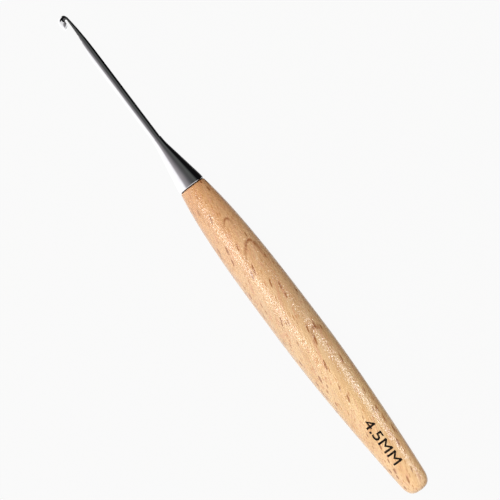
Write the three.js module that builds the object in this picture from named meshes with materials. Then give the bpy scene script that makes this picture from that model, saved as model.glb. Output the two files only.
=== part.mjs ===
// A hand hook for yarn: a steel needle with a small bent hook, held by a polished cone-shaped ferrule
// on a turned beech handle. Millimetres, +Z up. The tool lies along X, hook at +X, with the hook's lip
// towards +Y. Its origin is under its middle, on the surface that it lies on.
import * as THREE from "three";

// Hook, in offsets from the shaft's axis towards the lip and in lengths behind the nose
const noseThickness = 1.6; // from the nose to the throat's deep end
const noseWidth = 1.8;
const noseFullness = 2.9; // 2 is an ellipse, more is blunter
const backFullness = 1.9; // the same, on the back's side
const throatWidth = 0.6; // at its round deep end
const throatFloor = 0.05;
const bendKept = 0.54; // share of the oval section left by the throat's flat wall
const backOffset = 0.65; // of the hook's back, beside the throat
const lipOffset = 2.6; // of the lip's outside
const lipOverhang = 2; // from the throat's centre to the lip's point
const lipDraw = 0.45; // how far the point is drawn in from the lip's outside
const lipPoint = 0.16; // thickness left at the point
const lipPointWidth = 0.65; // square to the hook's plane
const lipWidth = 2.3;
const lipFlare = 4; // how late the throat opens towards the point
const neckLength = 14; // from the throat's centre to the full shaft
const neckWidth = 1.7; // square to the hook's plane, beside the throat
const neckRunOut = 1.6; // how late the throat's floor rises to the shaft
const neckRunIn = 2.5; // how soon the back reaches the shaft

// Shaft and tang
const shaftDiameter = 2.6;
const shaftLength = 29; // bare, between the neck and the ferrule
const tangLength = 32; // inside the wood, from the seam back
const tangChamfer = 0.45;
const grooveCount = 3;
const grooveLength = 1;
const grooveDepth = 0.2;
const grooveInset = 4; // from the seam to the first groove
const flatLength = 8; // of the two pressed flats that stop the needle turning
const flatDepth = 0.25;
const pressedSlope = 0.3; // length of each shoulder of a groove or flat

// Ferrule
const ferruleLength = 17.3;
const ferruleEdge = 0.12; // wall left at the front, rolled down on the shaft
const ferruleBlend = 3.2; // length of the soft run-out on to the shaft
const ferruleBand = 1.2; // from the seam to where the cone would meet the straight rim
const ferruleRounding = 0.3; // of the band's rear edge
const rimWall = 1.2; // round the cup
const cupWall = 0.4; // least wall, at the cup's front corner

// Handle. An arm is how far a curve keeps near its end's own slope, along the axis.
const frontLength = 55.7; // from the seam to the widest girth
const seamArm = 14;
const seamSlope = 0.18;
const gripFrontArm = 22;
const rearLength = 54.2; // from the widest girth to the end of the butt
const gripRearArm = 14;
const buttArm = 12;
const buttSlope = 0.095;
const gripDiameter = 13.5;
const shoulderStep = 0.05; // how far the wood stands proud of the ferrule
const buttDiameter = 8.25;
const buttDepth = 3.8; // of the rounded butt
const buttLand = 2.4; // diameter of the flat left in its middle
const shoulderChamfer = 0.15;
const tenonWall = 0.8;
const tenonChamfer = 0.3;
const boreSpare = 1.2; // depth of the bore beyond the tang

// Adhesive and fits
const fitGap = 0.05; // between faces that lie close
const tangBondThickness = 0.3;
const cupBondThickness = 0.25;
const seamThickness = 0.15; // of the bond between the ferrule's band and the wood
const seamRecess = 0.25; // how far that bond stays inside the outline

// Smoothness
const facets = 24;
const curveSteps = 11;
const smallSteps = 4;
const lipSteps = 6;
const bendSteps = 12;
const neckSteps = 10;

// Radii, from the shaft outwards
const shaftRadius = shaftDiameter / 2;
const boreRadius = shaftRadius + tangBondThickness + 2 * fitGap;
const tenonRadius = boreRadius + tenonWall;
const cupRadius = tenonRadius + cupBondThickness + 2 * fitGap;
const seamRadius = cupRadius + rimWall;
const shoulderRadius = seamRadius + shoulderStep;
const gripRadius = gripDiameter / 2;
const ferruleFront = shaftRadius + fitGap + ferruleEdge;

// The throat's centre, from which the hook's bend is struck
const throatRadius = throatWidth / 2;
const throatBehind = noseThickness + throatRadius;
const throatOffset = throatFloor + throatRadius;
const neckEnd = throatBehind + neckLength;

// Distances ahead of the seam, which is where the wood's shoulder is cut
const noseAhead = ferruleLength + shaftLength + neckEnd;
const rimAhead = seamThickness + 2 * fitGap;
const coneAhead = ferruleLength - ferruleBlend / 2;
const coneSlope = (seamRadius - ferruleFront) / (coneAhead - ferruleBand);
const cupAhead = ferruleBand + (seamRadius - cupWall - cupRadius) / coneSlope;
const tenonAhead = cupAhead - cupBondThickness - 2 * fitGap;
const handleLength = frontLength + rearLength;

// Round sections are polygons drawn round the true circle, with a flat facet on the floor
const halfFacet = Math.PI / facets;
const toCorner = 1 / Math.cos(halfFacet);

const { lerp, clamp, smoothstep } = THREE.MathUtils;

const finish = (color, roughness, metalness) =>
  new THREE.MeshStandardMaterial({ color, roughness, metalness });

function named(name, geometry, material) {
  const mesh = new THREE.Mesh(geometry, material);
  mesh.name = name;
  return mesh;
}

// A solid turned about Y from an outline of radius and distance ahead of the seam.
function turned(name, outline, steps, material) {
  const points = outline.getPoints(steps).map(({ x, y }) => new THREE.Vector2(x * toCorner, y));
  return named(name, new THREE.LatheGeometry(points, facets, halfFacet), material);
}

// A solid through rings of points, closed at each end from the ring's middle.
function lofted(name, rings, material) {
  const middle = (ring) =>
    ring.reduce((sum, point) => sum.add(point), new THREE.Vector3()).divideScalar(facets);
  const points = [middle(rings[0]), ...rings.flat(), middle(rings.at(-1))];
  const last = points.length - 1;
  const at = (ring, i) => 1 + ring * facets + (i % facets);
  const index = [];
  for (let i = 0; i < facets; i++) {
    index.push(0, at(0, i + 1), at(0, i));
    for (let ring = 1; ring < rings.length; ring++) {
      index.push(at(ring - 1, i), at(ring - 1, i + 1), at(ring, i));
      index.push(at(ring, i), at(ring - 1, i + 1), at(ring, i + 1));
    }
    index.push(last, at(rings.length - 1, i), at(rings.length - 1, i + 1));
  }
  const geometry = new THREE.BufferGeometry().setFromPoints(points);
  geometry.setIndex(index);
  geometry.computeVertexNormals();
  return named(name, geometry, material);
}

// An oval ring between two points of the hook's plane, each [behind the nose, offset to the lip].
// width is its size square to that plane, and thickness trims its sides flat. Only the kept share of
// the oval, from its back, is left before a flat face at its front.
function ovalRing(back, front, width, { kept = 1, thickness = width } = {}) {
  return Array.from({ length: facets }, (_, i) => {
    const angle = halfFacet * (2 * i + 1);
    const share = Math.min((1 - toCorner * Math.cos(angle)) / 2 / kept, 1);
    const side = clamp((width / 2) * toCorner * Math.sin(angle), -thickness / 2, thickness / 2);
    return new THREE.Vector3(
      -lerp(back[1], front[1], share),
      noseAhead - lerp(back[0], front[0], share),
      side,
    );
  });
}

// A round ring on the shaft's axis, at a distance behind the seam.
function roundRing(behindSeam, radius, thickness) {
  const behind = noseAhead + behindSeam;
  return ovalRing([behind, -radius], [behind, radius], 2 * radius, { thickness });
}

// From the lip's point, widening to the throat's centre.
function lipRings() {
  const lipInside = throatOffset + throatRadius;
  const flare = lipOffset - lipDraw - lipPoint - lipInside;
  return Array.from({ length: lipSteps }, (_, i) => {
    const toPoint = 1 - i / lipSteps;
    const behind = throatBehind + lipOverhang * toPoint;
    const outside = lipOffset - lipDraw * toPoint ** 2;
    const inside = lipInside + flare * toPoint ** lipFlare;
    const width = lerp(lipPointWidth, lipWidth, Math.sqrt(1 - toPoint ** 2));
    const kept = lerp(bendKept, 1, smoothstep(toPoint, 0, 1));
    return ovalRing([behind, outside], [behind, inside], width, { kept });
  });
}

// Rings fanned about the throat's centre, from the lip round the nose to the back.
function bendRings() {
  return Array.from({ length: bendSteps + 1 }, (_, i) => {
    const angle = (Math.PI * i) / bendSteps;
    const forward = Math.sin(angle);
    const sideways = Math.cos(angle);
    const toLip = sideways > 0;
    const side = toLip ? lipOffset - throatOffset : throatOffset + backOffset;
    const fullness = toLip ? noseFullness : backFullness;
    const fall = (forward / throatBehind) ** fullness + (Math.abs(sideways) / side) ** fullness;
    const reach = fall ** (-1 / fullness);
    const point = (radius) => [throatBehind - radius * forward, throatOffset + radius * sideways];
    const width = lerp(toLip ? lipWidth : neckWidth, noseWidth, forward);
    return ovalRing(point(reach), point(throatRadius), width, { kept: bendKept });
  });
}

// The neck, from beside the throat to the full shaft.
function neckRings() {
  return Array.from({ length: neckSteps }, (_, i) => {
    const share = (i + 1) / neckSteps;
    const behind = lerp(throatBehind, neckEnd, share);
    const back = lerp(backOffset, shaftRadius, 1 - (1 - share) ** neckRunIn);
    const floor = lerp(throatFloor, shaftRadius, smoothstep(share ** neckRunOut, 0, 1));
    const kept = (back + floor) / (2 * back);
    return ovalRing([behind, -back], [behind, floor], lerp(neckWidth, shaftDiameter, share), { kept });
  });
}

// The tang, from its first groove to its end, with every face moved outwards by clearance.
function tangRings(clearance) {
  const full = shaftRadius + clearance;
  const groove = full - grooveDepth;
  const end = tangLength + clearance;
  const flatEnd = end - tangChamfer;
  const flatStart = flatEnd - flatLength;
  const flat = 2 * (full - flatDepth);
  const pitch = (flatStart - grooveInset) / grooveCount;
  const rings = [];
  for (let i = 0; i < grooveCount; i++) {
    const start = grooveInset + i * pitch;
    rings.push(
      roundRing(start, full),
      roundRing(start + pressedSlope, groove),
      roundRing(start + grooveLength - pressedSlope, groove),
      roundRing(start + grooveLength, full),
    );
  }
  rings.push(
    roundRing(flatStart, full),
    roundRing(flatStart + pressedSlope, full, flat),
    roundRing(flatEnd, full, flat),
    roundRing(end, full - tangChamfer, flat - tangChamfer),
  );
  return rings;
}

function hookNeedle() {
  const rings = [...lipRings(), ...bendRings(), ...neckRings(), ...tangRings(0)];
  return lofted("hook_needle", rings, finish(0x85868a, 0.2, 1));
}

// The cone is bored for the shaft in front and cupped for the handle's tenon behind.
function ferrule() {
  const bore = shaftRadius + fitGap;
  const coneStart = 2 * ferruleBand;
  const coneEnd = ferruleLength - ferruleBlend;
  const coneRadius = (ahead) => ferruleFront + (coneAhead - ahead) * coneSlope;
  const outline = new THREE.Path();
  outline.moveTo(bore, ferruleLength);
  outline.lineTo(bore, cupAhead);
  outline.lineTo(cupRadius, cupAhead);
  outline.lineTo(cupRadius, rimAhead);
  outline.lineTo(seamRadius - ferruleRounding, rimAhead);
  outline.quadraticCurveTo(seamRadius, rimAhead, seamRadius, rimAhead + ferruleRounding);
  outline.quadraticCurveTo(seamRadius, ferruleBand, coneRadius(coneStart), coneStart);
  outline.lineTo(coneRadius(coneEnd), coneEnd);
  outline.quadraticCurveTo(ferruleFront, coneAhead, ferruleFront, ferruleLength);
  outline.lineTo(bore, ferruleLength);
  return turned("ferrule", outline, smallSteps, finish(0xa6a7ab, 0.1, 1));
}

// The turned handle, with its tenon in front and a blind bore for the tang.
function woodHandle() {
  const boreEnd = -tangLength - fitGap - boreSpare;
  const buttStart = buttDepth - handleLength;
  const buttRadius = buttDiameter / 2;
  const outline = new THREE.Path();
  outline.moveTo(0, -handleLength);
  outline.lineTo(buttLand / 2, -handleLength);
  outline.quadraticCurveTo(buttRadius - buttDepth * buttSlope, -handleLength, buttRadius, buttStart);
  outline.bezierCurveTo(
    buttRadius + buttArm * buttSlope, buttStart + buttArm,
    gripRadius, -frontLength - gripRearArm,
    gripRadius, -frontLength,
  );
  outline.bezierCurveTo(
    gripRadius, -frontLength + gripFrontArm,
    shoulderRadius + seamArm * seamSlope, -seamArm,
    shoulderRadius, -shoulderChamfer,
  );
  outline.lineTo(shoulderRadius - shoulderChamfer, 0);
  outline.lineTo(tenonRadius, 0);
  outline.lineTo(tenonRadius, tenonAhead - tenonChamfer);
  outline.lineTo(tenonRadius - tenonChamfer, tenonAhead);
  outline.lineTo(boreRadius, tenonAhead);
  outline.lineTo(boreRadius, boreEnd);
  outline.lineTo(0, boreEnd);
  return turned("wood_handle", outline, curveSteps, finish(0xe2b98c, 0.42, 0));
}

// Adhesive in the ferrule's cup. Its flange shows beside the wood as a thin dark seam.
function ferruleBond() {
  const inside = tenonRadius + fitGap;
  const outside = cupRadius - fitGap;
  const flange = seamRadius - seamRecess;
  const flangeAhead = fitGap + seamThickness;
  const outline = new THREE.Path();
  outline.moveTo(inside, fitGap);
  outline.lineTo(flange, fitGap);
  outline.lineTo(flange, flangeAhead);
  outline.lineTo(outside, flangeAhead);
  outline.lineTo(outside, tenonAhead);
  outline.lineTo(inside, tenonAhead);
  outline.lineTo(inside, fitGap);
  return turned("ferrule_bond", outline, 1, finish(0x2e1c12, 0.5, 0));
}

// Adhesive round the tang: a sleeve with a floor that fills the bore, the grooves and the flats.
function tangBond() {
  const outside = boreRadius - fitGap;
  const bottom = tangLength + boreSpare;
  const inside = [roundRing(-tenonAhead, shaftRadius + fitGap), ...tangRings(fitGap)];
  const rings = [...inside.reverse(), roundRing(-tenonAhead, outside), roundRing(bottom, outside)];
  return lofted("tang_bond", rings, finish(0x3a2618, 0.5, 0));
}

// Everything is made about Y with the seam at 0, then laid along X.
const tool = new THREE.Group();
tool.add(hookNeedle(), ferrule(), woodHandle(), ferruleBond(), tangBond());
tool.rotation.z = -Math.PI / 2;
tool.position.x = (handleLength - noseAhead) / 2;
tool.position.z = gripRadius;

export default new THREE.Group().add(tool);
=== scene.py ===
import math

import bmesh
import bpy
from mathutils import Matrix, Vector
from mathutils.geometry import interpolate_bezier


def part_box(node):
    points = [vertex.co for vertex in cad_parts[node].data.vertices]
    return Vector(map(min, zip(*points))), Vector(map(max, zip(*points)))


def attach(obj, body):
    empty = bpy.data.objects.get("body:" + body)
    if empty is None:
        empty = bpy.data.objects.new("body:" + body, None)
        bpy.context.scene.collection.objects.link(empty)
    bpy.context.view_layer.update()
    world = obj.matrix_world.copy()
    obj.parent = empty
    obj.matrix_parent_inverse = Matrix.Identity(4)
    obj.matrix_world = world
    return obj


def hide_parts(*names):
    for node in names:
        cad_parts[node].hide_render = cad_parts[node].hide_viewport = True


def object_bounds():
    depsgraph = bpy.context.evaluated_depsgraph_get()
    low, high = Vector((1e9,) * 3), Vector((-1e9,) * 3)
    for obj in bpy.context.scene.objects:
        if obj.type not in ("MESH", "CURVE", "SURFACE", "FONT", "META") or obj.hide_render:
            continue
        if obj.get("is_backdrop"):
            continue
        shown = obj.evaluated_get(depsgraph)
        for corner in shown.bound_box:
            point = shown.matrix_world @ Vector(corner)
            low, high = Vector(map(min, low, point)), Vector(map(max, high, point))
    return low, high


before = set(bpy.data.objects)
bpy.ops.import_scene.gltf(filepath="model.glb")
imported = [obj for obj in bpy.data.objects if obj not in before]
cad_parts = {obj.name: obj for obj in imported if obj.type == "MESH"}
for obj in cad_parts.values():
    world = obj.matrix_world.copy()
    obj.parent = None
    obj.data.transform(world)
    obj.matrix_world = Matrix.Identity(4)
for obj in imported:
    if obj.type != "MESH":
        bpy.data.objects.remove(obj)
cad_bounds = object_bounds()

# Hook needle: a drawn steel rod. Its front end is bent and ground to a small hook, the neck runs out
# into the bare shaft, and the grooved, flattened tang is glued into the handle. It is polished all over.
MM = 0.001
NOSE_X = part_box("hook_needle")[1].x
wood_low, wood_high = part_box("wood_handle")
BUTT_X = wood_low.x
AXIS = Vector((0, 0, (wood_low.z + wood_high.z) / 2))

HANDLE_LENGTH = 109.9 * MM
SEAM_X = BUTT_X + HANDLE_LENGTH
SHAFT_RADIUS = 1.3 * MM
THROAT_RADIUS = 0.3 * MM
NOSE_THICKNESS = 1.6 * MM
THROAT_BEHIND = NOSE_THICKNESS + THROAT_RADIUS
THROAT_FLOOR = 0.05 * MM
THROAT_OFFSET = THROAT_FLOOR + THROAT_RADIUS
BACK_OFFSET = 0.65 * MM
LIP_OFFSET = 2.6 * MM
LIP_OVERHANG = 2 * MM
LIP_DRAW = 0.45 * MM
LIP_POINT = 0.16 * MM
LIP_POINT_WIDTH = 0.65 * MM
LIP_WIDTH = 2.3 * MM
NOSE_WIDTH = 1.8 * MM
NECK_WIDTH = 1.7 * MM
NECK_LENGTH = 14 * MM
TANG_LENGTH = 32 * MM
TANG_CHAMFER = 0.45 * MM
GROOVE_COUNT = 3
GROOVE_LENGTH = 1 * MM
GROOVE_DEPTH = 0.2 * MM
GROOVE_INSET = 4 * MM
FLAT_LENGTH = 8 * MM
FLAT_DEPTH = 0.25 * MM
PRESSED_SLOPE = 0.3 * MM
# Share of the bend's oval section, from its outside, that its flat inner face leaves
BEND_KEPT = 0.54
# Powers of the curves. A fullness of 2 is an ellipse, and a higher one is squarer
LIP_FLARE = 4
NOSE_FULLNESS = 2.9
BACK_FULLNESS = 1.9
NECK_RUN_OUT = 1.6
NECK_RUN_IN = 2.5
NEEDLE_SIDES = 40
LIP_STEPS = 10
BEND_STEPS = 28
NECK_STEPS = 24
NEEDLE_SHARP = 30
WELD_DISTANCE = 0.0005 * MM
# Most of a noise lies between these
NOISE_LOW, NOISE_HIGH = 0.3, 0.7
POLISH_ROUGHNESS = (0.04, 0.09)
POLISH_DEPTH = 0.0006 * MM
# Strengths of the marks between which the metal goes from its smoothest to its roughest
MARKS_DULLING = (0.12, 0.42)


def mix(start, end, share):
    return start + (end - start) * share


def oval_ring(bm, back, front, width, kept=1, thickness=None):
    """A ring between two points of the hook's plane, each (behind the nose, offset to the lip).
    Only the kept share of the oval, from its back, is left before a flat face at its front."""
    back = Vector((NOSE_X - back[0], back[1], 0)) + AXIS
    front = Vector((NOSE_X - front[0], front[1], 0)) + AXIS
    ring = bmesh.ops.create_circle(bm, segments=NEEDLE_SIDES, radius=1)["verts"]
    for vert in ring:
        share = min((vert.co.x + 1) / 2 / kept, 1)
        side = vert.co.y * width / 2
        if thickness:
            side = max(-thickness / 2, min(thickness / 2, side))
        vert.co = back.lerp(front, share) + Vector((0, 0, side))
    return list({edge for vert in ring for edge in vert.link_edges})


def round_ring(bm, behind, radius, thickness=None):
    return oval_ring(bm, (behind, -radius), (behind, radius), 2 * radius, thickness=thickness)


def lip_rings(bm):
    """From the lip's point, widening to the throat's centre."""
    inside = THROAT_OFFSET + THROAT_RADIUS
    flare = LIP_OFFSET - LIP_DRAW - LIP_POINT - inside
    for step in range(LIP_STEPS):
        to_point = 1 - step / LIP_STEPS
        behind = THROAT_BEHIND + LIP_OVERHANG * to_point
        outer = LIP_OFFSET - LIP_DRAW * to_point**2
        inner = inside + flare * to_point**LIP_FLARE
        width = mix(LIP_POINT_WIDTH, LIP_WIDTH, math.sqrt(1 - to_point**2))
        kept = mix(BEND_KEPT, 1, to_point**2 * (3 - 2 * to_point))
        yield oval_ring(bm, (behind, outer), (behind, inner), width, kept)


def bend_rings(bm):
    """Fanned about the throat's centre, from the lip round the nose to the back."""
    for step in range(BEND_STEPS + 1):
        angle = math.pi * step / BEND_STEPS
        forward, sideways = math.sin(angle), math.cos(angle)
        to_lip = sideways > 0
        side = LIP_OFFSET - THROAT_OFFSET if to_lip else THROAT_OFFSET + BACK_OFFSET
        fullness = NOSE_FULLNESS if to_lip else BACK_FULLNESS
        fall = (forward / THROAT_BEHIND) ** fullness + (abs(sideways) / side) ** fullness
        reach = fall ** (-1 / fullness)
        outer, inner = (
            (THROAT_BEHIND - radius * forward, THROAT_OFFSET + radius * sideways)
            for radius in (reach, THROAT_RADIUS)
        )
        width = mix(LIP_WIDTH if to_lip else NECK_WIDTH, NOSE_WIDTH, forward)
        yield oval_ring(bm, outer, inner, width, BEND_KEPT)


def neck_rings(bm):
    """From beside the throat to the full shaft."""
    for step in range(1, NECK_STEPS + 1):
        share = step / NECK_STEPS
        behind = THROAT_BEHIND + NECK_LENGTH * share
        back = mix(BACK_OFFSET, SHAFT_RADIUS, 1 - (1 - share) ** NECK_RUN_IN)
        rise = share**NECK_RUN_OUT
        floor = mix(THROAT_FLOOR, SHAFT_RADIUS, rise**2 * (3 - 2 * rise))
        width = mix(NECK_WIDTH, 2 * SHAFT_RADIUS, share)
        yield oval_ring(bm, (behind, -back), (behind, floor), width, (back + floor) / (2 * back))


def tang_rings(bm):
    """The shaft's end in the handle, with its ring grooves and its two pressed flats."""
    seam = NOSE_X - SEAM_X
    flat_end = seam + TANG_LENGTH - TANG_CHAMFER
    flat_start = flat_end - FLAT_LENGTH
    flat = 2 * (SHAFT_RADIUS - FLAT_DEPTH)
    pitch = (flat_start - seam - GROOVE_INSET) / GROOVE_COUNT
    for groove in range(GROOVE_COUNT):
        start = seam + GROOVE_INSET + groove * pitch
        yield round_ring(bm, start, SHAFT_RADIUS)
        yield round_ring(bm, start + PRESSED_SLOPE, SHAFT_RADIUS - GROOVE_DEPTH)
        yield round_ring(bm, start + GROOVE_LENGTH - PRESSED_SLOPE, SHAFT_RADIUS - GROOVE_DEPTH)
        yield round_ring(bm, start + GROOVE_LENGTH, SHAFT_RADIUS)
    yield round_ring(bm, flat_start, SHAFT_RADIUS)
    yield round_ring(bm, flat_start + PRESSED_SLOPE, SHAFT_RADIUS, flat)
    yield round_ring(bm, flat_end, SHAFT_RADIUS, flat)
    yield round_ring(bm, seam + TANG_LENGTH, SHAFT_RADIUS - TANG_CHAMFER, flat - TANG_CHAMFER)


def finished(bm, name, sharp_degrees):
    """Turns a bmesh into a smooth-shaded object with its real edges kept crisp."""
    bmesh.ops.remove_doubles(bm, verts=bm.verts, dist=WELD_DISTANCE)
    bmesh.ops.recalc_face_normals(bm, faces=bm.faces)
    for face in bm.faces:
        face.smooth = True
    mesh = bpy.data.meshes.new(name)
    bm.to_mesh(mesh)
    bm.free()
    mesh.set_sharp_from_angle(angle=math.radians(sharp_degrees))
    piece = bpy.data.objects.new(name, mesh)
    bpy.context.scene.collection.objects.link(piece)
    return piece


def node_maker(tree):
    """Gives a function that adds a node to the tree, with values or links for its inputs."""

    def add(kind, inputs=None, **settings):
        node = tree.nodes.new("ShaderNode" + kind)
        for key, value in settings.items():
            setattr(node, key, value)
        for socket, value in (inputs or {}).items():
            if isinstance(value, bpy.types.NodeSocket):
                tree.links.new(value, node.inputs[socket])
            else:
                node.inputs[socket].default_value = value
        return node

    return add


def new_material(name):
    material = bpy.data.materials.new(name)
    material.use_nodes = True
    material.node_tree.nodes.clear()
    return material, node_maker(material.node_tree)


def new_group(name, inputs, outputs):
    """A shader node group: its tree, its node adder, its inputs and a function that fills an output."""
    tree = bpy.data.node_groups.new(name, "ShaderNodeTree")
    for socket, kind in inputs.items():
        tree.interface.new_socket(socket, in_out="INPUT", socket_type="NodeSocket" + kind)
    for socket, kind in outputs.items():
        tree.interface.new_socket(socket, in_out="OUTPUT", socket_type="NodeSocket" + kind)
    given = tree.nodes.new("NodeGroupInput").outputs
    result = tree.nodes.new("NodeGroupOutput").inputs
    return tree, node_maker(tree), given, lambda socket, value: tree.links.new(value, result[socket])


def maths(add, operation, *values):
    return add("Math", dict(enumerate(values)), operation=operation).outputs[0]


def mapped(add, value, start, end, low=0.0, high=1.0, smooth=False):
    """Runs from low to high while the value runs from start to end, and stays level outside."""
    inputs = {"Value": value, 1: start, 2: end, 3: low, 4: high}
    kind = "SMOOTHSTEP" if smooth else "LINEAR"
    return add("MapRange", inputs, interpolation_type=kind).outputs[0]


def noise(add, place, detail=2.0, roughness=0.5, distortion=0.0):
    inputs = {"Vector": place, "Scale": 1.0, "Detail": detail}
    inputs |= {"Roughness": roughness, "Distortion": distortion}
    return add("TexNoise", inputs).outputs["Fac"]


def ramp(add, share, stops):
    """A colour that follows share through stops, each (position, colour)."""
    node = add("ValToRGB", {"Fac": share})
    elements = node.color_ramp.elements
    elements.remove(elements[-1])
    for place, (position, colour) in enumerate(stops):
        element = elements[0] if place == 0 else elements.new(position)
        element.position = position
        element.color = (*colour, 1)
    return node.outputs["Color"]


def millimetres_about(add, centre, turn):
    """The piece's own coordinates in millimetres about a centre, turned as seen from above."""
    place = add("TexCoord").outputs["Object"]
    place = add("Mapping", {"Vector": place, "Location": -centre, "Scale": [1 / MM] * 3}).outputs[0]
    return add("Mapping", {"Vector": place, "Rotation": (0, 0, math.radians(turn))}).outputs[0]


def along_tool(add, scale=(1, 1, 1), turn=0):
    """A pattern's coordinates about the tool's axis, turned away from it and then scaled."""
    place = millimetres_about(add, AXIS / MM, turn)
    return add("Mapping", {"Vector": place, "Scale": scale}).outputs[0]


def polish_marks():
    """Fine marks left by polishing, with soft patches of duller metal between them."""
    tree, add, given, put = new_group(
        "polish_marks",
        {"Marks": "Vector", "Patches": "Vector", "Smoothest": "Float", "Roughest": "Float"},
        {"Roughness": "Float", "Height": "Float", "Patch": "Float"},
    )
    lines = noise(add, given["Marks"], detail=3.0)
    patch = noise(add, given["Patches"])
    dull = maths(add, "MULTIPLY", lines, patch)
    put("Roughness", mapped(add, dull, *MARKS_DULLING, given["Smoothest"], given["Roughest"]))
    put("Height", lines)
    put("Patch", patch)
    return tree


POLISH_MARKS = polish_marks()


def give_surface(add, inputs):
    shader = add("BsdfPrincipled", inputs)
    add("OutputMaterial", {"Surface": shader.outputs[0]})


def polished_metal(name, pale, dark, marks_scale, patch_scale):
    material, add = new_material(name)
    smoothest, roughest = POLISH_ROUGHNESS
    places = {"Marks": along_tool(add, marks_scale), "Patches": along_tool(add, patch_scale)}
    limits = {"Smoothest": smoothest, "Roughest": roughest}
    marks = add("Group", places | limits, node_tree=POLISH_MARKS).outputs
    colour = ramp(add, marks["Patch"], ((NOISE_LOW, dark), (NOISE_HIGH, pale)))
    bump = add("Bump", {"Height": marks["Height"], "Distance": POLISH_DEPTH, "Strength": 1.0})
    give_surface(
        add,
        {
            "Base Color": colour,
            "Metallic": 1.0,
            "Roughness": marks["Roughness"],
            "Normal": bump.outputs[0],
        },
    )
    return material


needle_mesh = bmesh.new()
rings = [*lip_rings(needle_mesh), *bend_rings(needle_mesh)]
rings += [*neck_rings(needle_mesh), *tang_rings(needle_mesh)]
for ahead, behind in zip(rings, rings[1:]):
    bmesh.ops.bridge_loops(needle_mesh, edges=ahead + behind)
for end in (rings[0], rings[-1]):
    bmesh.ops.contextual_create(needle_mesh, geom=end)
needle = finished(needle_mesh, "steel_hook_needle", NEEDLE_SHARP)
needle.data.materials.append(
    polished_metal(
        "drawn_polished_steel",
        pale=(0.8, 0.8, 0.81),
        dark=(0.72, 0.72, 0.74),
        marks_scale=(0.5, 14, 14),
        patch_scale=(0.15, 0.8, 0.8),
    )
)
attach(needle, "root")
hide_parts("hook_needle")

# Wooden handle: one piece of beech, turned to a long swell with a rounded butt, bored for the tang and
# shouldered for the ferrule. It is sanded and given a thin satin lacquer.
FRONT_LENGTH = 55.7 * MM
SEAM_ARM = 14 * MM
SEAM_SLOPE = 0.18
GRIP_FRONT_ARM = 22 * MM
GRIP_REAR_ARM = 14 * MM
BUTT_ARM = 12 * MM
BUTT_SLOPE = 0.095
GRIP_RADIUS = 6.75 * MM
SHOULDER_RADIUS = 4.1 * MM
BUTT_RADIUS = 4.125 * MM
BUTT_DEPTH = 3.8 * MM
BUTT_LAND = 1.2 * MM
SHOULDER_CHAMFER = 0.15 * MM
TENON_RADIUS = 2.5 * MM
TENON_AHEAD = wood_high.x - SEAM_X
BORE_RADIUS = 1.7 * MM
BORE_DEPTH = 33.25 * MM
BUTT_POINTS = 20
GRIP_POINTS = 40
# Share of the way to the corner that each arm of a rounding reaches
CORNER_PULL = 2 / 3
TURNED_STEPS = 144
WOOD_SHARP = 35


def curve(start, start_arm, end_arm, end, points):
    """Points of a curve between two places of an outline, each (distance ahead of the seam, radius)."""
    places = [Vector((*place, 0)) for place in (start, start_arm, end_arm, end)]
    return [(point.x, point.y) for point in interpolate_bezier(*places, points)]


def rounded(start, corner, end, points):
    """A corner of an outline rounded off between two places."""
    arms = [[mix(a, b, CORNER_PULL) for a, b in zip(place, corner)] for place in (start, end)]
    return curve(start, *arms, end, points)


def turned(outline, name, sharp_degrees):
    """Turns an outline about the tool's axis. A closed outline makes a ring."""
    bm = bmesh.new()
    verts = [bm.verts.new(AXIS + Vector((SEAM_X + ahead, 0, radius))) for ahead, radius in outline]
    for pair in zip(verts, verts[1:]):
        bm.edges.new(pair)
    if outline[0] == outline[-1]:
        bmesh.ops.remove_doubles(bm, verts=bm.verts, dist=WELD_DISTANCE)
    bmesh.ops.spin(
        bm,
        geom=bm.verts[:] + bm.edges[:],
        cent=AXIS,
        axis=(1, 0, 0),
        angle=2 * math.pi,
        steps=TURNED_STEPS,
        use_merge=True,
    )
    return finished(bm, name, sharp_degrees)


def handle_outline():
    butt_start = BUTT_DEPTH - HANDLE_LENGTH
    outline = [(-HANDLE_LENGTH, 0)]
    outline += rounded(
        (-HANDLE_LENGTH, BUTT_LAND),
        (-HANDLE_LENGTH, BUTT_RADIUS - BUTT_DEPTH * BUTT_SLOPE),
        (butt_start, BUTT_RADIUS),
        BUTT_POINTS,
    )
    outline += curve(
        (butt_start, BUTT_RADIUS),
        (butt_start + BUTT_ARM, BUTT_RADIUS + BUTT_ARM * BUTT_SLOPE),
        (-FRONT_LENGTH - GRIP_REAR_ARM, GRIP_RADIUS),
        (-FRONT_LENGTH, GRIP_RADIUS),
        GRIP_POINTS,
    )[1:]
    outline += curve(
        (-FRONT_LENGTH, GRIP_RADIUS),
        (-FRONT_LENGTH + GRIP_FRONT_ARM, GRIP_RADIUS),
        (-SEAM_ARM, SHOULDER_RADIUS + SEAM_ARM * SEAM_SLOPE),
        (-SHOULDER_CHAMFER, SHOULDER_RADIUS),
        GRIP_POINTS,
    )[1:]
    outline += [
        (0, SHOULDER_RADIUS - SHOULDER_CHAMFER),
        (0, TENON_RADIUS),
        (TENON_AHEAD, TENON_RADIUS),
        (TENON_AHEAD, BORE_RADIUS),
        (-BORE_DEPTH, BORE_RADIUS),
        (-BORE_DEPTH, 0),
    ]
    return outline


SMALLEST_FLECK = 0.45
FLECK_CORE = 0.6
ARCH_FULL_HEIGHT = 2


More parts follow.
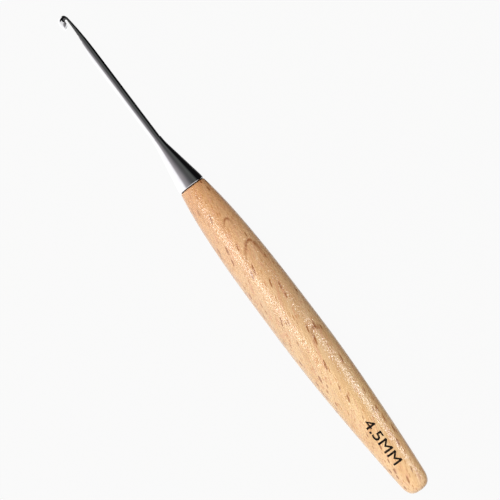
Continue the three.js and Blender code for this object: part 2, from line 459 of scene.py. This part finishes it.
def wood_flecks():
    """Short dark dashes of the wood's rays, of mixed sizes. The vector's scale draws them out."""
    tree, add, given, put = new_group(
        "wood_flecks", {"Vector": "Vector", "Size": "Float"}, {"Fleck": "Float"}
    )
    cells = add("TexVoronoi", {"Vector": given["Vector"], "Scale": 1.0}).outputs
    chance = add("SeparateColor", {0: cells["Color"]}).outputs[1]
    grown = mapped(add, chance, 0.0, 1.0, SMALLEST_FLECK, 1.0)
    size = maths(add, "MULTIPLY", grown, given["Size"])
    core = maths(add, "MULTIPLY", size, FLECK_CORE)
    put("Fleck", mapped(add, cells["Distance"], size, core, smooth=True))
    return tree


def growth_arch():
    """A growth ring cut through at a slant: an arch that opens to the butt, on the upper side only.
    Its line is as wide along its legs as at its top, because its slope is divided out."""
    tree, add, given, put = new_group(
        "growth_arch",
        {"Vector": "Vector", "Bend": "Float", "Length": "Float", "Width": "Float"},
        {"Arch": "Float"},
    )
    place = add("SeparateXYZ", {0: given["Vector"]}).outputs
    behind = maths(add, "MULTIPLY", place[0], -1.0)
    line = maths(add, "MULTIPLY", maths(add, "MULTIPLY", place[1], place[1]), given["Bend"])
    slope = maths(add, "MULTIPLY_ADD", maths(add, "MULTIPLY", line, given["Bend"]), 4.0, 1.0)
    off = maths(add, "DIVIDE", maths(add, "SUBTRACT", behind, line), maths(add, "SQRT", slope))
    on_line = mapped(add, maths(add, "ABSOLUTE", off), given["Width"], 0.0, smooth=True)
    not_ended = mapped(add, behind, given["Length"], 0.0)
    on_top = mapped(add, place[2], 0.0, ARCH_FULL_HEIGHT)
    put("Arch", maths(add, "MULTIPLY", maths(add, "MULTIPLY", on_line, not_ended), on_top))
    return tree


WOOD_FLECKS = wood_flecks()
GROWTH_ARCH = growth_arch()
GRAIN_TURN = 16
# Scales of the wood's patterns per millimetre, along the grain and across it
PATCH_SCALE = (0.05, 0.4, 0.4)
FIBRE_SCALE = (0.3, 5, 5)
STREAK_SCALE = (0.05, 2.2, 2.2)
BREAK_SCALE = (0.8, 0.8, 0.8)
DIMPLE_SCALE = (1.3, 1.8, 1.8)
# Colours of the plain wood from the seam to the butt
WOOD_TONES = (
    (0.0, (0.62, 0.325, 0.145)),
    (0.2, (0.68, 0.407, 0.212)),
    (0.4, (0.665, 0.43, 0.235)),
    (0.7, (0.715, 0.465, 0.235)),
    (1.0, (0.8, 0.52, 0.275)),
)
# Factors that darken and lighten the wood in patches and along its fibres
PATCH_TONES = ((0.3, (0.9, 0.83, 0.74)), (0.5, (1, 1, 1)), (0.7, (1.03, 1.08, 1.16)))
FIBRE_TONES = ((0.3, (0.93, 0.92, 0.9)), (0.7, (1.04, 1.04, 1.04)))
STREAK_COLOUR = (0.6, 0.27, 0.16, 1)
STREAK_STRENGTH = 0.5
STREAK_EDGE = (0.56, 0.64)
# Flecks: millimetres between them along and across the grain, size, strength and colour
FLECKS = (
    (3.5, 0.7, 0.38, 0.75, (0.5, 0.22, 0.08, 1)),
    (7.5, 1.3, 0.34, 0.85, (0.3, 0.1, 0.025, 1)),
)
# Arches of the grain: millimetres behind the seam, offset to the lip, bend, length and width
ARCHES = ((22.2, -3.6, 0.75, 9, 0.8), (13.4, -2.1, 1.3, 4, 0.6), (53.4, -3.8, 0.8, 3, 0.9))
ARCH_COLOUR = (0.33, 0.115, 0.035, 1)
# Share of an arch's colour that is left in its breaks, and the noise at a break's edge
BROKEN_LEFT = 0.35
BROKEN_EDGE = (0.35, 0.55)
DIMPLE_DEPTH = 0.16 * MM
LACQUER_ROUGHNESS = (0.24, 0.35)
LACQUER_IOR = 1.75


def mixed(add, factor, first, second, blend="MIX"):
    inputs = {0: factor, 6: first, 7: second}
    return add("Mix", inputs, data_type="RGBA", blend_type=blend).outputs[2]


def beech():
    material, add = new_material("lacquered_beech")

    def grain(scale, **settings):
        return noise(add, along_tool(add, scale, GRAIN_TURN), **settings)

    def flecks(spacing_along, spacing_across, size):
        scale = (1 / spacing_along, 1 / spacing_across, 1 / spacing_across)
        inputs = {"Vector": along_tool(add, scale, GRAIN_TURN), "Size": size}
        return add("Group", inputs, node_tree=WOOD_FLECKS).outputs[0]

    def arch(behind, offset, bend, length, width):
        top = AXIS / MM + Vector((SEAM_X / MM - behind, offset, 0))
        inputs = {"Vector": millimetres_about(add, top, GRAIN_TURN), "Bend": bend}
        inputs |= {"Length": length, "Width": width}
        return add("Group", inputs, node_tree=GROWTH_ARCH).outputs[0]

    ahead = add("SeparateXYZ", {0: along_tool(add)}).outputs[0]
    colour = ramp(add, mapped(add, ahead, SEAM_X / MM, BUTT_X / MM), WOOD_TONES)
    patches = grain(PATCH_SCALE, detail=3.0, roughness=0.55, distortion=0.4)
    colour = mixed(add, 1.0, colour, ramp(add, patches, PATCH_TONES), "MULTIPLY")
    fibres = grain(FIBRE_SCALE, detail=3.0, roughness=0.6)
    colour = mixed(add, 1.0, colour, ramp(add, fibres, FIBRE_TONES), "MULTIPLY")
    streaks = mapped(add, grain(STREAK_SCALE, detail=1.0), *STREAK_EDGE)
    colour = mixed(add, maths(add, "MULTIPLY", streaks, STREAK_STRENGTH), colour, STREAK_COLOUR)
    for *fleck_sizes, strength, tint in FLECKS:
        shown = maths(add, "MULTIPLY", flecks(*fleck_sizes), strength)
        colour = mixed(add, shown, colour, tint)
    broken = mapped(add, grain(BREAK_SCALE), *BROKEN_EDGE, BROKEN_LEFT, 1.0)
    for one in ARCHES:
        colour = mixed(add, maths(add, "MULTIPLY", arch(*one), broken), colour, ARCH_COLOUR)
    dimples = grain(DIMPLE_SCALE, detail=1.0)
    bump = add("Bump", {"Height": dimples, "Distance": DIMPLE_DEPTH, "Strength": 1.0})
    give_surface(
        add,
        {
            "Base Color": colour,
            "Roughness": mapped(add, fibres, NOISE_LOW, NOISE_HIGH, *LACQUER_ROUGHNESS),
            "Normal": bump.outputs[0],
            "IOR": LACQUER_IOR,
        },
    )
    return material


handle_profile = handle_outline()
handle = turned(handle_profile, "beech_handle", WOOD_SHARP)
handle.data.materials.append(beech())
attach(handle, "root")
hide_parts("wood_handle")

# Adhesive: a two-part glue. It fills the handle's bore round the tang and the ferrule's cup round the
# tenon. Its flange shows as a thin dark seam between the ferrule and the wood. The glue's very dark
# colour is partly its own and partly painted shade for the shadow in that seam.
ADHESIVE_CLOUDS = 2
# Very dark tones of the glue, partly its own colour and partly painted shade for the seam's shadow
ADHESIVE_AND_SEAM_SHADE_TONES = ((0.35, (0.045, 0.02, 0.01)), (0.65, (0.12, 0.06, 0.035)))
ADHESIVE_ROUGHNESS = (0.4, 0.65)


def dull_material(name, cloud_scale, tones, roughness, reflection=0.5):
    """A dull finish whose colour and roughness drift together in small clouds."""
    material, add = new_material(name)
    cloud = noise(add, along_tool(add, [cloud_scale] * 3), detail=3.0)
    give_surface(
        add,
        {
            "Base Color": ramp(add, cloud, tones),
            "Roughness": mapped(add, cloud, NOISE_LOW, NOISE_HIGH, *roughness),
            "Specular IOR Level": reflection,
        },
    )
    return material


glue_and_seam_shade = dull_material("cured_adhesive_and_seam_shade", ADHESIVE_CLOUDS, ADHESIVE_AND_SEAM_SHADE_TONES, ADHESIVE_ROUGHNESS)
for name in ("tang_bond", "ferrule_bond"):
    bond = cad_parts[name]
    bond.data.materials.clear()
    bond.data.materials.append(glue_and_seam_shade)

# Ferrule: a cone turned from steel bar, bored for the shaft and cupped for the handle's tenon. It is
# pushed on over the glue, its front edge is rolled down on the shaft, and it is mirror polished.
FERRULE_LENGTH = 17.3 * MM
FERRULE_FRONT = 1.47 * MM
FERRULE_BLEND = 3.2 * MM
FERRULE_BAND = 1.2 * MM
FERRULE_ROUNDING = 0.4 * MM
FERRULE_RADIUS = 4.05 * MM
RIM_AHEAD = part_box("ferrule")[0].x - SEAM_X
CUP_RADIUS = 2.85 * MM
CUP_FLOOR_GAP = 0.35 * MM
CUP_AHEAD = TENON_AHEAD + CUP_FLOOR_GAP
FERRULE_BORE = 1.35 * MM
EDGE_POINTS = 9
FRONT_POINTS = 17
FERRULE_SHARP = 40


def ferrule_outline():
    cone_ahead = FERRULE_LENGTH - FERRULE_BLEND / 2
    slope = (FERRULE_RADIUS - FERRULE_FRONT) / (cone_ahead - FERRULE_BAND)

    def cone(ahead):
        return (ahead, FERRULE_FRONT + (cone_ahead - ahead) * slope)

    front = (FERRULE_LENGTH, FERRULE_FRONT)
    cone_start = cone(2 * FERRULE_BAND)
    cone_end = cone(FERRULE_LENGTH - FERRULE_BLEND)
    rim = (RIM_AHEAD, FERRULE_RADIUS - FERRULE_ROUNDING)
    rim_end = (RIM_AHEAD + FERRULE_ROUNDING, FERRULE_RADIUS)
    outline = [(FERRULE_LENGTH, FERRULE_BORE), (CUP_AHEAD, FERRULE_BORE)]
    outline += [(CUP_AHEAD, CUP_RADIUS), (RIM_AHEAD, CUP_RADIUS)]
    outline += rounded(rim, (RIM_AHEAD, FERRULE_RADIUS), rim_end, EDGE_POINTS)
    outline += rounded(rim_end, (FERRULE_BAND, FERRULE_RADIUS), cone_start, EDGE_POINTS)[1:]
    outline += rounded(cone_end, (cone_ahead, FERRULE_FRONT), front, FRONT_POINTS)
    outline += [(FERRULE_LENGTH, FERRULE_BORE)]
    return outline


ferrule = turned(ferrule_outline(), "steel_ferrule", FERRULE_SHARP)
ferrule.data.materials.append(
    polished_metal(
        "turned_polished_steel",
        pale=(0.81, 0.8, 0.82),
        dark=(0.73, 0.72, 0.75),
        marks_scale=(9, 0.4, 0.4),
        patch_scale=(0.3, 0.5, 0.5),
    )
)
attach(ferrule, "root")
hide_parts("ferrule")

# Size mark: the plain metric size printed in black ink on top of the handle, near the butt, with the
# letters' heads to the back of the hook. The ink lies on the lacquer and follows its curve.
MARK_TEXT = "4.5MM"
MARK_BEHIND = 83.95 * MM
MARK_HEIGHT = 3.1 * MM
MARK_LENGTH = 15.35 * MM
MARK_FOOT = 2.1 * MM
MARK_SHARP = 60
INK_SPREAD = 0.08 * MM
INK_THICKNESS = 0.02 * MM
INK_LIFT = 0.015 * MM
SLICE = 0.25 * MM
INK_CLOUDS = 6
INK_TONES = ((0.3, (0.006, 0.005, 0.004)), (0.7, (0.02, 0.014, 0.01)))
INK_ROUGHNESS = (0.6, 0.75)
INK_REFLECTION = 0.15


def flat_letters():
    """The size in flat letters as large as the mark, less the ink's spread."""
    text = bpy.data.curves.new("size_mark", "FONT")
    text.body = MARK_TEXT
    written = bpy.data.objects.new("size_mark", text)
    bpy.context.scene.collection.objects.link(written)
    bpy.context.view_layer.update()
    depsgraph = bpy.context.evaluated_depsgraph_get()
    flat = bpy.data.meshes.new_from_object(written.evaluated_get(depsgraph))
    bpy.data.objects.remove(written)
    bm = bmesh.new()
    bm.from_mesh(flat)
    bpy.data.meshes.remove(flat)
    low = Vector((min(v.co.x for v in bm.verts), min(v.co.y for v in bm.verts), 0))
    high = Vector((max(v.co.x for v in bm.verts), max(v.co.y for v in bm.verts), 0))
    bmesh.ops.translate(bm, vec=-low, verts=bm.verts)
    length = (MARK_LENGTH - 2 * INK_SPREAD) / (high.x - low.x)
    height = (MARK_HEIGHT - 2 * INK_SPREAD) / (high.y - low.y)
    bmesh.ops.scale(bm, vec=(length, height, 1), verts=bm.verts)
    bmesh.ops.translate(bm, vec=(INK_SPREAD, INK_SPREAD, 0), verts=bm.verts)
    bmesh.ops.remove_doubles(bm, verts=bm.verts, dist=INK_SPREAD / 2)
    return bm


def spread_ink(bm):
    """Widens the strokes by the same amount all round, and fills them anew."""
    rim = [edge for edge in bm.edges if edge.is_boundary]
    inner = [edge for edge in bm.edges if not edge.is_boundary]
    outward = {vert: Vector() for edge in rim for vert in edge.verts}
    for edge in rim:
        for vert in edge.verts:
            outward[vert] -= edge.calc_tangent(edge.link_loops[0])
    bmesh.ops.delete(bm, geom=bm.faces[:], context="FACES_ONLY")
    bmesh.ops.delete(bm, geom=inner, context="EDGES")
    for vert, side in outward.items():
        vert.co += side.normalized() * INK_SPREAD
    bmesh.ops.triangle_fill(bm, edges=rim, use_beauty=True, normal=(0, 0, 1))


def slice_letters(bm):
    """Cuts the letters into small squares, so that they can follow the handle's curve."""
    for normal, reach in ((Vector((1, 0, 0)), MARK_LENGTH), (Vector((0, 1, 0)), MARK_HEIGHT)):
        for cut in range(1, int(reach / SLICE) + 1):
            geom = bm.verts[:] + bm.edges[:] + bm.faces[:]
            bmesh.ops.bisect_plane(bm, geom=geom, plane_co=normal * cut * SLICE, plane_no=normal)


def thicken_ink(bm):
    raised = bmesh.ops.extrude_face_region(bm, geom=bm.faces[:])["geom"]
    raised = [item for item in raised if isinstance(item, bmesh.types.BMVert)]
    bmesh.ops.translate(bm, vec=(0, 0, INK_THICKNESS), verts=raised)


def handle_radius(ahead):
    for (start, start_radius), (end, end_radius) in zip(handle_profile, handle_profile[1:]):
        if start <= ahead <= end and end > start:
            return mix(start_radius, end_radius, (ahead - start) / (end - start))


def lay_on_handle(bm):
    """Wraps the letters round the top of the handle, just above the lacquer."""
    for vert in bm.verts:
        behind = MARK_BEHIND + vert.co.x
        radius = handle_radius(-behind) + INK_LIFT + vert.co.z
        angle = (MARK_FOOT - vert.co.y) / radius
        place = (SEAM_X - behind, radius * math.sin(angle), radius * math.cos(angle))
        vert.co = AXIS + Vector(place)


letters = flat_letters()
spread_ink(letters)
slice_letters(letters)
thicken_ink(letters)
lay_on_handle(letters)
mark = finished(letters, "size_mark", MARK_SHARP)
mark.data.materials.append(
    dull_material("black_ink", INK_CLOUDS, INK_TONES, INK_ROUGHNESS, INK_REFLECTION)
)
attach(mark, "root")

# Table and studio: a white table under a soft overhead lamp and one from the lip's side. Two small lamps
# give the lacquer its sheen. A tent, cloths and cards, seen only in reflections, give the steel bands.
WHITE = (1, 1, 1, 1)
TABLE_REACH = 4
# The table lies this far below the tool, and the cloths lie as far above the tool's lowest point
TABLE_GAP = 0.00005
TABLE_GREY = (0.25, 0.25, 0.25, 1)
TABLE_GLOW = 0.94


def studio_object(name, mesh_maker, material):
    bm = bmesh.new()
    mesh_maker(bm)
    mesh = bpy.data.meshes.new(name)
    bm.to_mesh(mesh)
    bm.free()
    mesh.materials.append(material)
    thing = bpy.data.objects.new(name, mesh)
    bpy.context.scene.collection.objects.link(thing)
    thing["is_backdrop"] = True
    return thing


def seen_share(add):
    """1 for rays from the camera, off glossy surfaces and through glass, else 0."""
    path = add("LightPath").outputs
    seen = maths(add, "MAXIMUM", path["Is Camera Ray"], path["Is Glossy Ray"])
    return maths(add, "MAXIMUM", seen, path["Is Transmission Ray"])


def table_material():
    """Looks almost white, but keeps shadows and throws only a little light back on the tool."""
    material, add = new_material("white_table")
    paper = add("BsdfDiffuse", {"Color": TABLE_GREY})
    glow = add("Emission", {"Color": WHITE, "Strength": 1.0})
    share = maths(add, "MULTIPLY", seen_share(add), TABLE_GLOW)
    surface = add("MixShader", {0: share, 1: paper.outputs[0], 2: glow.outputs[0]})
    add("OutputMaterial", {"Surface": surface.outputs[0]})
    return material


def table_mesh(bm):
    bmesh.ops.create_grid(bm, x_segments=1, y_segments=1, size=TABLE_REACH)
    bmesh.ops.translate(bm, vec=(0, 0, -TABLE_GAP), verts=bm.verts)


studio_object("table", table_mesh, table_material())

TENT_RADIUS = 0.7
TENT_BACK = -0.35
TENT_FRONT = 0.8
TENT_STEPS = 48
TENT_BLACK = (0.008, 0.008, 0.009, 1)
# Places along the tent between which its front turns black, and shares round it between which the
# black ends, because the front stays bright on the lip's side
BLACK_FRONT_X = (0.58, 0.64)
BLACK_FRONT_ROUND = (0.86, 0.76)
# Brightness round the tent, from the side of the hook's back over the top to the lip's side
TENT_STRIPES = (
    (0.0, (0.006, 0.006, 0.007)),
    (0.085, (0.006, 0.006, 0.007)),
    (0.15, (0.058, 0.064, 0.06)),
    (0.21, (0.1, 0.108, 0.102)),
    (0.37, (0.085, 0.086, 0.085)),
    (0.44, (0.11, 0.11, 0.112)),
    (0.50, (0.17, 0.165, 0.172)),
    (0.57, (0.27, 0.255, 0.262)),
    (0.70, (0.41, 0.39, 0.4)),
    (0.75, (0.55, 0.53, 0.55)),
    (0.79, (0.95, 0.94, 0.95)),
    (0.84, (1.25, 1.25, 1.25)),
    (1.0, (1.35, 1.35, 1.35)),
)


def tent_mesh(bm):
    """Half a drum along X, closed in front."""
    profile = ((TENT_BACK, TENT_RADIUS), (TENT_FRONT, TENT_RADIUS), (TENT_FRONT, 0))
    verts = [bm.verts.new((x, -radius, 0)) for x, radius in profile]
    for pair in zip(verts, verts[1:]):
        bm.edges.new(pair)
    geom = bm.verts[:] + bm.edges[:]
    bmesh.ops.spin(bm, geom=geom, cent=(0, 0, 0), axis=(1, 0, 0), angle=-math.pi, steps=TENT_STEPS)


def tent_material():
    material, add = new_material("striped_tent")
    place = add("SeparateXYZ", {0: add("TexCoord").outputs["Object"]}).outputs
    angle = maths(add, "ARCTAN2", place[1], place[2])
    share = maths(add, "MULTIPLY_ADD", angle, 1 / math.pi, 0.5)
    front = mapped(add, place[0], *BLACK_FRONT_X, smooth=True)
    black = maths(add, "MULTIPLY", front, mapped(add, share, *BLACK_FRONT_ROUND))
    colour = mixed(add, black, ramp(add, share, TENT_STRIPES), TENT_BLACK)
    glow = add("Emission", {"Color": colour})
    add("OutputMaterial", {"Surface": glow.outputs[0]})
    return material


# Sides of the cloths and cards, in metres
CLOTH_BACK = -0.012
CLOTH_EDGE = -0.001
CONE_CLOTH_X = 0.022
SHAFT_CLOTH_X = 0.06
FRONT_CARD_EDGE = 0.0017
LIP_CARD_CORNERS = ((0.0944, 0.0124), (0.1288, 0.086))
LIP_CARD_HEIGHT = 0.05
# Brightness of the cloths and cards
BLACK_CLOTH = 0.006
FRONT_CLOTH = 0.008
GREY_CLOTH = 0.055
LIP_CARD = 1.0
BRIGHT_CARD = 1.35


def table_cover(name, low, high, brightness, height=TABLE_GAP):
    """A level cloth or card between two corners, on the table or at a height above it."""

    def mesh(bm):
        bmesh.ops.create_grid(bm, x_segments=1, y_segments=1, size=0.5)
        bmesh.ops.scale(bm, vec=(high[0] - low[0], high[1] - low[1], 1), verts=bm.verts)
        middle = ((low[0] + high[0]) / 2, (low[1] + high[1]) / 2, height)
        bmesh.ops.translate(bm, vec=middle, verts=bm.verts)

    material, add = new_material(name)
    glow = add("Emission", {"Color": (brightness, brightness, brightness, 1), "Strength": 1.0})
    add("OutputMaterial", {"Surface": glow.outputs[0]})
    return studio_object(name, mesh, material)


for reflected in (
    studio_object("striped_tent", tent_mesh, tent_material()),
    table_cover("far_side_cloth", (TENT_BACK, -TENT_RADIUS), (NOSE_X, CLOTH_BACK), BLACK_CLOTH),
    table_cover(
        "cone_side_cloth", (CONE_CLOTH_X, CLOTH_BACK), (SHAFT_CLOTH_X, CLOTH_EDGE), GREY_CLOTH
    ),
    table_cover("shaft_side_cloth", (SHAFT_CLOTH_X, CLOTH_BACK), (NOSE_X, CLOTH_EDGE), BLACK_CLOTH),
    table_cover("front_cloth", (NOSE_X, -TENT_RADIUS), (TENT_FRONT, FRONT_CARD_EDGE), FRONT_CLOTH),
    table_cover("side_card", (TENT_BACK, 0), (NOSE_X, TENT_RADIUS), BRIGHT_CARD),
    table_cover("front_card", (NOSE_X, FRONT_CARD_EDGE), (TENT_FRONT, TENT_RADIUS), BRIGHT_CARD),
    table_cover("lip_card", *LIP_CARD_CORNERS, LIP_CARD, LIP_CARD_HEIGHT),
):
    reflected.visible_camera = False
    reflected.visible_diffuse = False
    reflected.visible_shadow = False
    reflected.visible_transmission = False

ROOM_LIGHT = 0.3
world = bpy.data.worlds.new("studio")
bpy.context.scene.world = world
world.use_nodes = True
world.node_tree.nodes.clear()
add = node_maker(world.node_tree)
room = add("Background", {"Color": WHITE, "Strength": ROOM_LIGHT})
background = add("Background", {"Color": WHITE, "Strength": 1.0})
surface = add("MixShader", {0: seen_share(add), 1: room.outputs[0], 2: background.outputs[0]})
add("OutputWorld", {"Surface": surface.outputs[0]})


def lamp(name, place, size, watts, colour=(1, 1, 1), glossy=True):
    """A soft rectangular lamp aimed at the middle of the tool."""
    data = bpy.data.lights.new(name, "AREA")
    data.shape = "RECTANGLE"
    data.size, data.size_y = size
    data.energy = watts
    data.color = colour
    thing = bpy.data.objects.new(name, data)
    bpy.context.scene.collection.objects.link(thing)
    thing.location = place
    thing.rotation_euler = Vector(place).to_track_quat("Z", "Y").to_euler()
    thing.visible_glossy = glossy
    return thing


WARM_WHITE = (1, 0.95, 0.82)
OVERHEAD = {"place": (0, 0.16, 0.88), "size": (0.6, 0.4), "watts": 4.3}
FROM_LIP_SIDE = {"place": (0, 0.75, 0.35), "size": (0.7, 0.4), "watts": 2.6}
FRONT_SHEEN = {"place": (0.03, 0.22, 0.38), "size": (0.07, 0.11), "watts": 0.5}
REAR_SHEEN = {"place": (-0.165, -0.405, 0.273), "size": (0.06, 0.08), "watts": 0.6}

lamp("overhead_lamp", **OVERHEAD, colour=WARM_WHITE, glossy=False)
lamp("side_lamp", **FROM_LIP_SIDE)
# The sheen lamps light the wood alone, so the polished steel shows no small images of them
wood_only = bpy.data.collections.new("wood_only")
wood_only.objects.link(handle)
for sheen_lamp in (
    lamp("front_sheen_lamp", **FRONT_SHEEN),
    lamp("rear_sheen_lamp", **REAR_SHEEN),
):
    sheen_lamp.light_linking.receiver_collection = wood_only

# Camera: over the middle of the tool, looking straight down, with the hook at the top left and the
# butt at the bottom right of the picture.
VIEW_CENTRE = Vector((-0.9, -2.24, 0)) * MM
VIEW_WIDTH = 145 * MM
VIEW_HEIGHT = 0.48
PICTURE_RIGHT = Vector((-0.6022, -0.7984))
NEAREST_SEEN = 0.01

camera = bpy.data.objects.new("camera", bpy.data.cameras.new("camera"))
bpy.context.scene.collection.objects.link(camera)
bpy.context.scene.camera = camera
camera.data.lens = camera.data.sensor_width * VIEW_HEIGHT / VIEW_WIDTH
camera.location = VIEW_CENTRE + AXIS + Vector((0, 0, VIEW_HEIGHT))
camera.rotation_euler = (0, 0, math.atan2(PICTURE_RIGHT.y, PICTURE_RIGHT.x))
camera.data.clip_start = NEAREST_SEEN
bpy.context.scene.view_settings.view_transform = "Standard"

boxes = {"cad": cad_bounds, "visual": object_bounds()}
{name: [list(corner) for corner in box] for name, box in boxes.items()}
